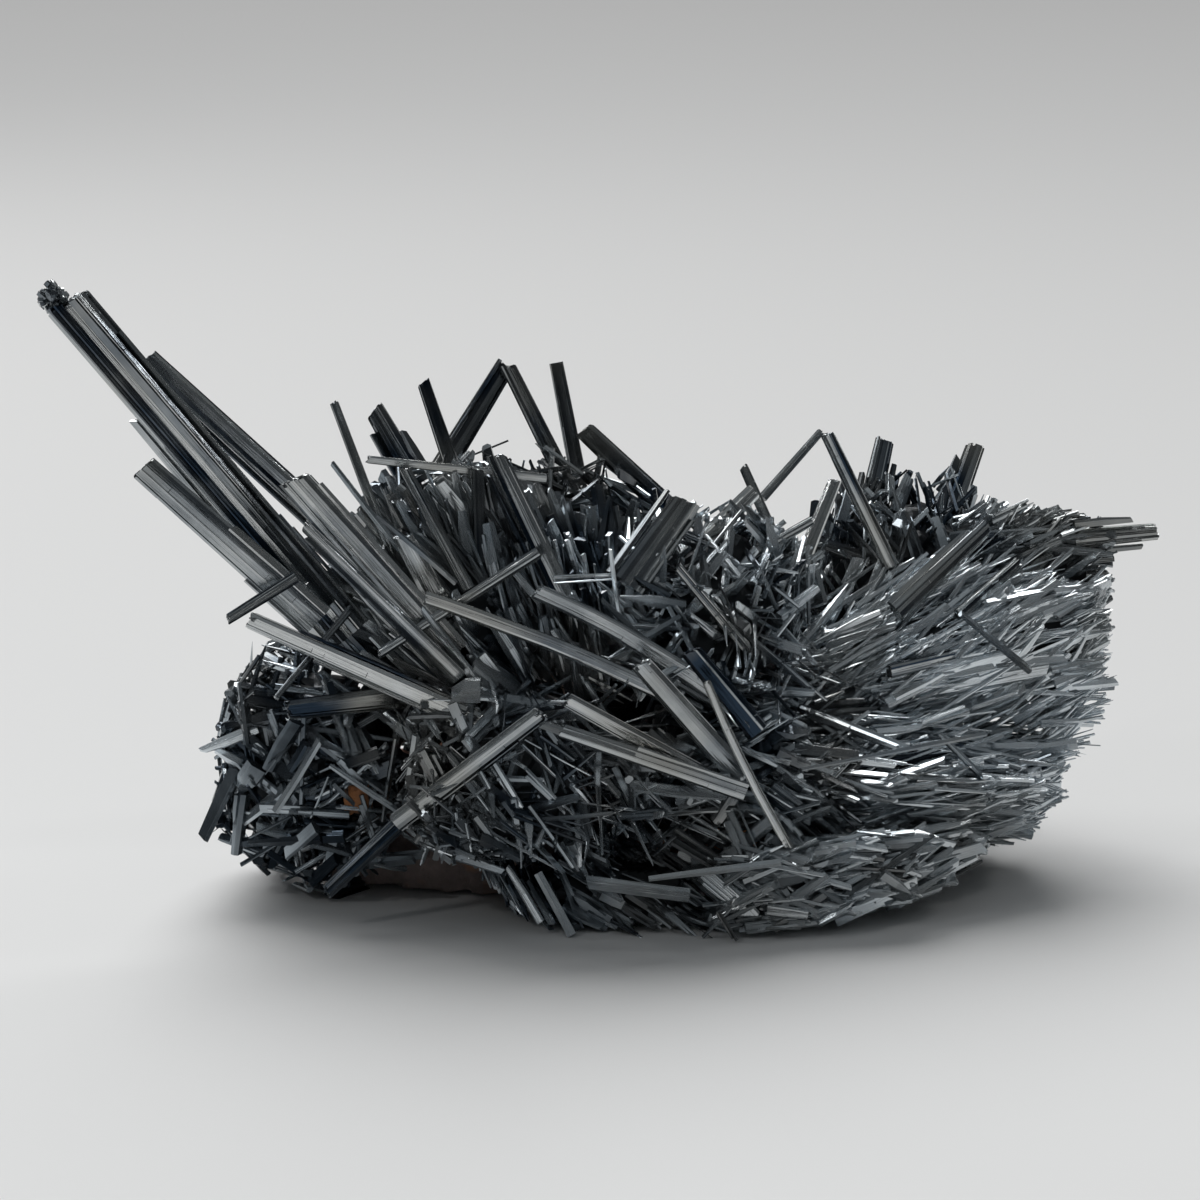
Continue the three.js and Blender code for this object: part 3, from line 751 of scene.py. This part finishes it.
def crystal_finish(name, dark, grey, pale, warm, dullness, bump, metallic):
    """Stibnite: a metal-bright sulphide with grooved, slightly tarnished faces. The stored tone
    runs through the dark, grey and pale colours, patches are warm, dullness is the least
    roughness, and bump is the strength of the fine grooves. Besides random differences, the stored
    tone carries painted shade and painted highlight."""
    material = bpy.data.materials.new(name)
    material.use_nodes = True
    nodes, links = material.node_tree.nodes, material.node_tree.links
    surface = nodes["Principled BSDF"]
    surface.inputs["Metallic"].default_value = metallic
    grooves = use_group(material, GROOVES, {})
    colours = {"Dark": (*dark, 1), "Grey": (*grey, 1), "Pale": (*pale, 1), "Warm": (*warm, 1)}
    tarnish_and_painted_light = use_group(material, TARNISH_AND_PAINTED_LIGHT, {**colours, "Dullness": dullness})
    links.new(grooves.outputs["Streaks"], tarnish_and_painted_light.inputs["Streaks"])
    relief = nodes.new("ShaderNodeBump")
    relief.inputs["Strength"].default_value = bump
    relief.inputs["Distance"].default_value = 0.05 * MM
    links.new(grooves.outputs["Height"], relief.inputs["Height"])
    links.new(tarnish_and_painted_light.outputs["Colour"], surface.inputs["Base Color"])
    links.new(tarnish_and_painted_light.outputs["Roughness"], surface.inputs["Roughness"])
    links.new(relief.outputs["Normal"], surface.inputs["Normal"])
    return material


def rock_finish(name, dark, light):
    """Dull rock, mottled between two colours, with rusty patches."""
    material = bpy.data.materials.new(name)
    material.use_nodes = True
    tree = material.node_tree
    surface = tree.nodes["Principled BSDF"]
    surface.inputs["Roughness"].default_value = 0.85
    place = tree.nodes.new("ShaderNodeTexCoord").outputs["Object"]
    grain = noise(tree, place, 900.0, 6.0, 0.65)
    patches = ramp(tree, noise(tree, place, 120.0, 3.0), [(0.5, 0.0), (0.62, 1.0)])
    base = mix_colour(tree, grain, dark, light)
    rusty = mix_colour(tree, patches, base, (0.42, 0.17, 0.06))
    relief = tree.nodes.new("ShaderNodeBump")
    relief.inputs["Strength"].default_value = 0.8
    relief.inputs["Distance"].default_value = 0.4 * MM
    tree.links.new(grain, relief.inputs["Height"])
    tree.links.new(rusty, surface.inputs["Base Color"])
    tree.links.new(relief.outputs["Normal"], surface.inputs["Normal"])
    return material


STEEL = crystal_finish(
    "steel_grey_crystal",
    dark=(0.022, 0.036, 0.056),
    grey=(0.42, 0.45, 0.465),
    pale=(0.68, 0.70, 0.70),
    warm=(0.40, 0.39, 0.35),
    dullness=0.02, bump=0.75, metallic=0.95,
)
NEEDLE = crystal_finish(
    "fine_needles",
    dark=(0.022, 0.033, 0.046),
    grey=(0.42, 0.475, 0.515),
    pale=(0.82, 0.88, 0.92),
    warm=(0.44, 0.44, 0.42),
    dullness=0.03, bump=0.55, metallic=0.75,
)
# Near-black close-packed roots inside each cluster: painted shade in the gaps between the needles.
PAINTED_SHADE_ROOTS = crystal_finish(
    "close_packed_roots_painted_shade",
    dark=(0.01, 0.012, 0.014),
    grey=(0.04, 0.045, 0.05),
    pale=(0.04, 0.045, 0.05),
    warm=(0.03, 0.03, 0.027),
    dullness=0.3, bump=0.35, metallic=0.9,
)
ROCK = rock_finish("rock", dark=(0.10, 0.08, 0.075), light=(0.33, 0.26, 0.24))
CRUST = rock_finish("rusty_crust", dark=(0.07, 0.04, 0.025), light=(0.34, 0.17, 0.09))

# ---------------- the specimen

# First seed of each kind of shape.
CRYSTAL_SEED, NUB_SEED, SPLINTER_SEED = 100, 160, 170
NEEDLE_SEED, LOOSE_SEED, CORE_SEED, ROCK_SEED, CRUST_SEED = 300, 350, 400, 500, 501

SLOTS = {part["node"]: part["material_slot"] for part in frame["record"]["subparts"]}
SLOT_TONE = {"steel_crystal": 0.5, "dark_crystal": 0.12, "tarnished_crystal": 0.45}
# Large crystals given a near-pale tone as painted highlight, for the glints that show on them.
PAINTED_HIGHLIGHT_CRYSTALS = ("bright_blade", "bright_thin_crystal", "glinting_crystal", "bright_sheaf_blade")
PAINTED_HIGHLIGHT_TONE = 0.95

# Lengthwise bands of the long spear, from its left edge: right limit in half widths, tone, depth.
# The tones copy the spear's light and dark facets: partly the metal's own colour, partly painted
# reflection, and painted shade in the dark, deep groove.
SPEAR_BANDS = [
    (-0.80, 0.62, 0.10),
    (-0.72, 0.05, 0.20),
    (-0.12, 0.14, 0.04),
    (-0.05, 1.00, 0.00),
    (0.30, 0.92, 0.01),
    (0.42, 0.35, 0.08),
    (0.62, 0.70, 0.03),
    (1.00, 0.40, 0.08),
]
NUB_RADIUS = 1.25 * MM
NUB_DEPTH = 1.5 * NUB_RADIUS  # how far below the tip the spear stops inside its nub

# Splinters beside the large crystals, as rows for side_splinters.
SPLINTERS = {
    "spear_main": [
        (-1.12, 0.1, 0.0, 0.66, 1.1, 0.55),
        (-1.30, -0.2, 0.0, 0.45, 1.1, 0.62),
        (1.05, 0.3, 0.16, 0.30, 0.35, 0.2),
        (1.10, 0.1, 0.10, 0.26, 0.4, 0.3),
        (0.95, 0.5, 0.0, 0.82, 0.6, 0.6),
    ],
    "spear_lower_blade": [(0.85, 0.6, 0.0, 0.55, 0.9, 0.8), (-0.9, 0.3, 0.0, 0.35, 0.8, 0.5)],
    "spear_back_blade": [(-0.9, 0.5, 0.1, 0.93, 0.7, 0.15)],
    "fan_tall_blade": [(0.95, 0.5, 0.0, 0.9, 0.8, 0.95), (-1.1, 0.4, 0.0, 0.8, 0.9, 0.6)],
    "fan_narrow_blade": [(-1.2, -0.2, 0.0, 0.94, 0.6, 0.2)],
    "bright_blade": [(-0.9, 0.6, 0.0, 0.7, 0.6, 1.0), (0.9, -0.3, 0.1, 0.8, 0.6, 0.1)],
    "twin_grooved_blade": [(-1.2, 0.2, 0.0, 0.9, 0.7, 0.1)],
    "sheaf_blade": [(-1.2, -0.3, 0.0, 0.95, 0.8, 0.3), (0.9, 0.8, 0.0, 0.85, 0.6, 0.8)],
    "chevron_left": [(0.9, 0.5, 0.05, 0.8, 0.5, 0.2)],
    "chevron_right": [(0.9, 0.4, 0.0, 0.6, 0.7, 0.6), (0.0, 0.2, 0.6, 1.1, 1.2, 0.6)],
    "long_brown_crystal": [(-0.9, 0.5, 0.0, 0.45, 0.8, 0.5)],
    "bowl_blade_upper": [(-1.2, 0.0, 0.0, 0.8, 0.7, 0.4)],
    "back_spike_left": [(-1.3, 0.3, 0.0, 0.55, 1.2, 0.1), (1.2, 0.2, 0.1, 0.75, 1.0, 0.2)],
    "back_spike_right": [(-1.2, 0.3, 0.1, 0.8, 1.1, 0.1), (1.3, 0.2, 0.0, 0.5, 1.2, 0.2)],
    "rim_horn": [
        (-1.5, 0.3, 0.0, 0.7, 0.9, 0.2),
        (1.4, 0.2, 0.0, 0.8, 0.8, 0.3),
        (2.4, 0.4, 0.0, 0.45, 0.8, 0.2),
    ],
    "crest_dark_block": [(-1.0, 0.4, 0.0, 0.7, 1.0, 0.1), (1.2, 0.2, 0.0, 0.55, 1.1, 0.2)],
}

for number, node in enumerate(sorted(node for node in SLOTS if SLOTS[node] in SLOT_TONE)):
    # a near-pale tone on some crystals is painted highlight
    tone = PAINTED_HIGHLIGHT_TONE if node in PAINTED_HIGHLIGHT_CRYSTALS else SLOT_TONE[SLOTS[node]]
    seed = CRYSTAL_SEED + number
    if node == "spear_main":
        spear = grooved_crystal(node, seed, tone, 0.05, SPEAR_BANDS, cut_short=NUB_DEPTH)
        parts = [spear, crumbly_tip(node, NUB_SEED, NUB_RADIUS, count=110)]
    else:
        parts = [grooved_crystal(node, seed, tone)]
    if node in SPLINTERS:
        parts.append(side_splinters(node, SPLINTER_SEED + number, SPLINTERS[node]))
    make_piece(node + "_grooved", parts, [STEEL], [node])

# Needles of each cluster, as values for cluster_needles: lengths and widths are the least and the
# greatest in millimetres, and the nucleus is given in shares of the cluster's box.
CLUSTERS = {
    "left_lobe": dict(
        count=440, length=(6, 12), width=(0.45, 2.1), nucleus=(0.9, 0.5, 0.7), radial=0.35,
        scatter=1.0, lie_flat=0.75, tone=0.47, slender=1.3, strands=1.6,
    ),
    "front_cluster": dict(
        count=420, length=(4, 10), width=(0.35, 1.7), nucleus=(0.5, 0.9, 0.5), radial=0.3,
        lean=(0.6, -0.1, -0.5), scatter=0.9, lie_flat=0.6, tone=0.6, slender=1.6, strands=1.7,
    ),
    "foot_cluster": dict(
        count=180, length=(5, 10), width=(0.4, 1.8), nucleus=(0.2, 0.9, 1.6), radial=0.8,
        lean=(0.5, -0.1, -0.3), tone=0.25,
    ),
    "front_lip": dict(
        count=430, length=(6, 12), width=(0.5, 2.4), nucleus=(0.2, 0.9, 0.9), radial=0.4,
        lean=(1.0, 0.1, 0.2), scatter=0.65, lie_flat=0.5, tone=0.9, root_tone=0.5, slender=1.6,
        strands=1.8,
    ),
    "bowl_floor": dict(
        count=360, length=(5, 12), width=(0.4, 2.0), nucleus=(0.2, 0.9, 0.6), radial=0.4,
        lean=(0.7, 0.0, 0.1), scatter=0.75, lie_flat=0.5, tone=0.6, slender=1.5,
    ),
    "middle_fan": dict(
        count=330, length=(10, 18), width=(0.6, 2.6), nucleus=(0.95, 0.5, -0.64),
        scatter=0.24, slender=1.2,
    ),
    "centre_cluster": dict(
        count=380, length=(7, 15), width=(0.4, 1.7), nucleus=(0.4, 0.6, 0.1), radial=0.8,
        scatter=0.7, lie_flat=0.45, tone=0.9, slender=1.4, strands=1.8,
    ),
    "crest_cluster": dict(
        count=330, length=(9, 16), width=(0.4, 1.7), nucleus=(0.5, 0.5, 0.0), radial=0.5,
        scatter=1.0, lie_flat=0.6, tone=0.35, slender=1.4, strands=1.7,
    ),
    "bowl_lower_wall": dict(
        count=720, length=(8, 15), width=(0.3, 1.7), nucleus=(-1.4, 0.2, 0.4),
        scatter=0.42, lie_flat=0.4, tone=1.15, root_tone=0.8, slender=2.6, strands=2.0,
    ),
    "bowl_wall": dict(
        count=720, length=(8, 16), width=(0.3, 1.8), nucleus=(-0.6, 0.2, -0.6),
        lie_flat=0.4, tone=1.55, root_tone=0.9, slender=2.6, strands=2.0,
    ),
    "rim_cluster": dict(
        count=380, length=(6, 12), width=(0.4, 1.6), nucleus=(-0.3, 0.3, 0.0),
        scatter=0.5, lie_flat=0.4, tone=0.75,
    ),
    "back_right_cluster": dict(
        count=360, length=(6, 13), width=(0.4, 1.8), nucleus=(0.4, 0.3, 0.0), radial=0.9,
        scatter=0.6, lie_flat=0.35, tone=0.3,
    ),
    "back_base_cluster": dict(
        count=700, length=(7, 13), width=(0.4, 1.8), nucleus=(0.5, 0.1, 0.9), radial=0.9,
        scatter=0.5, lie_flat=0.4, tone=0.3,
    ),
}
OUTLINES = {node: hull_planes(node) for node in [*CLUSTERS, "matrix_rock"]}

# Single needles that stand clear of a cluster: cluster, root and tip as shares of its box, width in
# millimetres, and tone.
LOOSE_NEEDLES = [
    ("middle_fan", (0.31, 0.36, 0.59), (0.08, 0.47, 1.00), 0.8, 0.5),
    ("middle_fan", (0.49, 0.08, 0.51), (0.24, 0.13, 0.82), 0.7, 0.2),
    ("middle_fan", (0.56, 0.01, 0.05), (0.38, 0.03, 0.41), 0.9, 0.5),
    ("middle_fan", (0.75, 0.23, 0.39), (0.66, 0.17, 0.57), 1.1, 0.9),
    ("middle_fan", (0.99, 0.25, 0.51), (0.80, 0.21, 0.51), 0.4, 0.8),
    ("middle_fan", (0.99, 0.25, 0.49), (0.80, 0.21, 0.48), 0.3, 0.8),
    ("middle_fan", (1.01, 0.17, 0.33), (0.98, 0.19, 0.65), 0.5, 0.7),
    ("centre_cluster", (0.20, 0.18, 0.28), (-0.09, 0.18, 0.57), 0.7, 0.4),
    ("back_right_cluster", (0.11, 0.06, 0.47), (0.14, 0.24, 0.88), 1.4, 0.1),
    ("back_right_cluster", (0.37, 0.24, 0.37), (0.35, 0.43, 0.83), 1.6, 0.1),
    ("bowl_wall", (0.67, 0.22, 0.43), (0.42, 0.05, 0.83), 1.1, 0.4),
    ("bowl_wall", (0.84, 0.79, 0.25), (1.00, 0.78, 0.23), 1.9, 0.3),
    ("front_lip", (-0.14, 0.21, 0.37), (-0.52, 0.16, 0.53), 1.3, 0.6),
    ("front_lip", (0.19, 0.06, 0.77), (-0.29, 0.04, 0.62), 1.2, 0.6),
    ("foot_cluster", (0.25, 0.07, 0.19), (0.11, 0.17, 0.98), 0.8, 0.9),
    ("foot_cluster", (0.38, 0.05, 0.02), (0.24, 0.16, 0.89), 1.7, 0.8),
    ("front_lip", (0.65, 0.49, 0.47), (0.98, 0.65, 0.64), 1.3, 0.5),
    ("bowl_lower_wall", (0.53, 0.18, 0.66), (0.32, 0.23, 0.91), 0.9, 0.4),
    ("bowl_lower_wall", (0.51, 0.14, 0.94), (-0.31, -0.17, 0.85), 0.9, 0.4),
    ("left_lobe", (0.25, 0.29, 0.67), (0.02, 0.27, 0.58), 1.3, 1.0),
    ("left_lobe", (0.16, 0.30, 0.50), (0.03, 0.17, 0.25), 1.5, 0.2),
    ("left_lobe", (0.82, -0.03, 0.41), (0.55, 0.02, 0.58), 0.9, 0.6),
    ("left_lobe", (0.33, 0.05, 0.39), (0.51, 0.07, 0.67), 0.8, 0.7),
    ("front_cluster", (0.37, 0.24, 1.01), (0.24, 0.24, 1.01), 2.7, 0.7),
]


def loose_needles(node, seed):
    """The needles of LOOSE_NEEDLES that belong to one cluster."""
    rng = np.random.default_rng(seed)
    low, high = (np.array(corner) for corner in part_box(node))
    own = [row for row in LOOSE_NEEDLES if row[0] == node]
    root = low + (high - low) * np.array([row[1] for row in own]).reshape(-1, 3)
    tip = low + (high - low) * np.array([row[2] for row in own]).reshape(-1, 3)
    half = np.array([row[3] for row in own]).reshape(-1) * MM / 2
    tone = np.array([row[4] for row in own]).reshape(-1)
    return needles(root, tip, half, half * 0.7, rng, tone, pointed=0)


for number, (node, style) in enumerate(CLUSTERS.items()):
    fine = cluster_needles(node, NEEDLE_SEED + number, **style)
    single = loose_needles(node, LOOSE_SEED + number)
    middle = middle_of(OUTLINES[node], *(np.array(corner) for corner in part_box(node)))
    # the near-black core of close-packed roots: painted shade between the needles
    painted_shade_core = lumpy_ball(
        middle, OUTLINES[node], CORE_SHARE, CORE_SEED + number, bumps=60, tone=0.3, material=1
    )
    make_piece(node + "_needles", [fine, single, painted_shade_core], [NEEDLE, PAINTED_SHADE_ROOTS], [node])

rock_middle = node_corners("matrix_rock").mean(0)
rock = lumpy_ball(
    rock_middle, OUTLINES["matrix_rock"], 0.995, ROCK_SEED, bumps=90, tone=0.5, material=0,
    across=160, up=80, share=0.08,
)

# The rusty crust that shows between the left lobe and the crystals in front of it.
lobe_low, lobe_high = (np.array(corner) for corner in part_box("left_lobe"))
crust_middle = lobe_low + (lobe_high - lobe_low) * [0.65, 0.15, 0.43]
CRUST_HALF_SIZE = np.array([1.6, 1.5, 1.9]) * MM
crust_sides = np.concatenate([np.eye(3), -np.eye(3)])
crust_planes = (crust_sides, crust_sides @ crust_middle + np.tile(CRUST_HALF_SIZE, 2))
crust = lumpy_ball(
    crust_middle, crust_planes, 0.9, CRUST_SEED, bumps=12, tone=0.5, material=1,
    across=24, up=12, share=0.3,
)
make_piece("matrix_rock_rough", [rock, crust], [ROCK, CRUST], ["matrix_rock"])

# ---------------- floor, light and camera


def pale_floor():
    """A flat pale sheet that runs on far behind the specimen. Its colour goes from the near one to
    the far one with the square root of half the distance behind the origin, in metres; the darker
    far colour is painted shade, for the light that falls off toward the back."""
    corners = [(-2.5, -1.5), (2.5, -1.5), (2.5, 5.0), (-2.5, 5.0)]
    mesh = bpy.data.meshes.new("pale_floor")
    mesh.from_pydata([(x, y, SURFACE_Z) for x, y in corners], [], [(0, 1, 2, 3)])
    paper = bpy.data.materials.new("paper")
    paper.use_nodes = True
    surface = paper.node_tree.nodes["Principled BSDF"]
    tree = paper.node_tree
    split = tree.nodes.new("ShaderNodeSeparateXYZ")
    tree.links.new(tree.nodes.new("ShaderNodeTexCoord").outputs["Object"], split.inputs[0])
    distance = math_node(tree, "SQRT", math_node(tree, "MULTIPLY", split.outputs["Y"], 0.5))
    # the far colour is darker: painted shade
    near, far = (0.735, 0.735, 0.73), (0.445, 0.44, 0.435)
    shade = mix_colour(tree, distance, near, far)
    tree.links.new(shade, surface.inputs["Base Color"])
    surface.inputs["Roughness"].default_value = 0.9
    mesh.materials.append(paper)
    sheet = bpy.data.objects.new("pale_floor", mesh)
    bpy.context.scene.collection.objects.link(sheet)
    sheet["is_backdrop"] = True


def high_window(direction, strength, angle):
    """Broad light from far off, above and behind the specimen, that fills an angle of the sky."""
    light = bpy.data.lights.new("high_window", "SUN")
    light.energy = strength
    light.angle = angle
    lamp = bpy.data.objects.new("high_window", light)
    bpy.context.scene.collection.objects.link(lamp)
    lamp.rotation_euler = Vector(direction).to_track_quat("Z", "Y").to_euler()


def soft_light(name, place, aim, size, power):
    """A square area light that points from its place at the aim."""
    light = bpy.data.lights.new(name, "AREA")
    light.shape = "SQUARE"
    light.size = size
    light.energy = power
    lamp = bpy.data.objects.new(name, light)
    bpy.context.scene.collection.objects.link(lamp)
    lamp.location = place
    lamp.rotation_euler = (Vector(aim) - Vector(place)).to_track_quat("-Z", "Y").to_euler()


def world_light(horizon, zenith, backdrop):
    """Soft light from all round that grows with height: the horizon's, plus the height squared
    times what the zenith has more. The camera sees an even backdrop instead."""
    world = bpy.data.worlds.new("room")
    world.use_nodes = True
    tree = world.node_tree
    heading = tree.nodes.new("ShaderNodeTexCoord").outputs["Generated"]
    split = tree.nodes.new("ShaderNodeSeparateXYZ")
    tree.links.new(heading, split.inputs[0])
    height = math_node(tree, "MAXIMUM", split.outputs["Z"], 0.0)
    squared = math_node(tree, "MULTIPLY", height, height)
    strength = math_node(tree, "MULTIPLY_ADD", squared, zenith - horizon, horizon)
    background = tree.nodes["Background"]
    background.inputs["Color"].default_value = (0.9, 0.96, 1, 1)
    seen = tree.nodes.new("ShaderNodeLightPath").outputs["Is Camera Ray"]
    difference = math_node(tree, "SUBTRACT", backdrop, strength)
    shown = math_node(tree, "MULTIPLY_ADD", difference, seen, strength)
    tree.links.new(shown, background.inputs["Strength"])
    bpy.context.scene.world = world


def camera():
    """A long lens in front of the specimen that looks down on it a little."""
    elevation = np.radians(13)
    distance = 306 * MM
    centre = (CAD_LOW + CAD_HIGH) / 2
    aim = centre + np.array([-2.0, -11.7, -1.4]) * MM
    lens = bpy.data.cameras.new("lens")
    lens.lens = 100
    lens.sensor_width = 36
    lens.clip_start = 0.01
    eye = bpy.data.objects.new("eye", lens)
    bpy.context.scene.collection.objects.link(eye)
    eye.location = aim + distance * np.array([0, -np.cos(elevation), np.sin(elevation)])
    eye.rotation_euler = (np.pi / 2 - elevation, 0, 0)
    bpy.context.scene.camera = eye


pale_floor()
specimen_middle = [0, 0, 0.03]
high_window([-0.12, 1.0, 1.0], strength=2.9, angle=np.radians(46))
soft_light("left_window", [-0.48, 0.36, 0.46], specimen_middle, size=0.34, power=1.3)
soft_light("left_lamp", [-0.38, -0.25, 0.42], specimen_middle, size=0.05, power=0.12)
soft_light("right_lamp", [0.45, 0.12, 0.45], specimen_middle, size=0.06, power=0.15)
world_light(horizon=0.06, zenith=0.24, backdrop=0.5)
camera()
bpy.context.scene.view_settings.view_transform = "Standard"
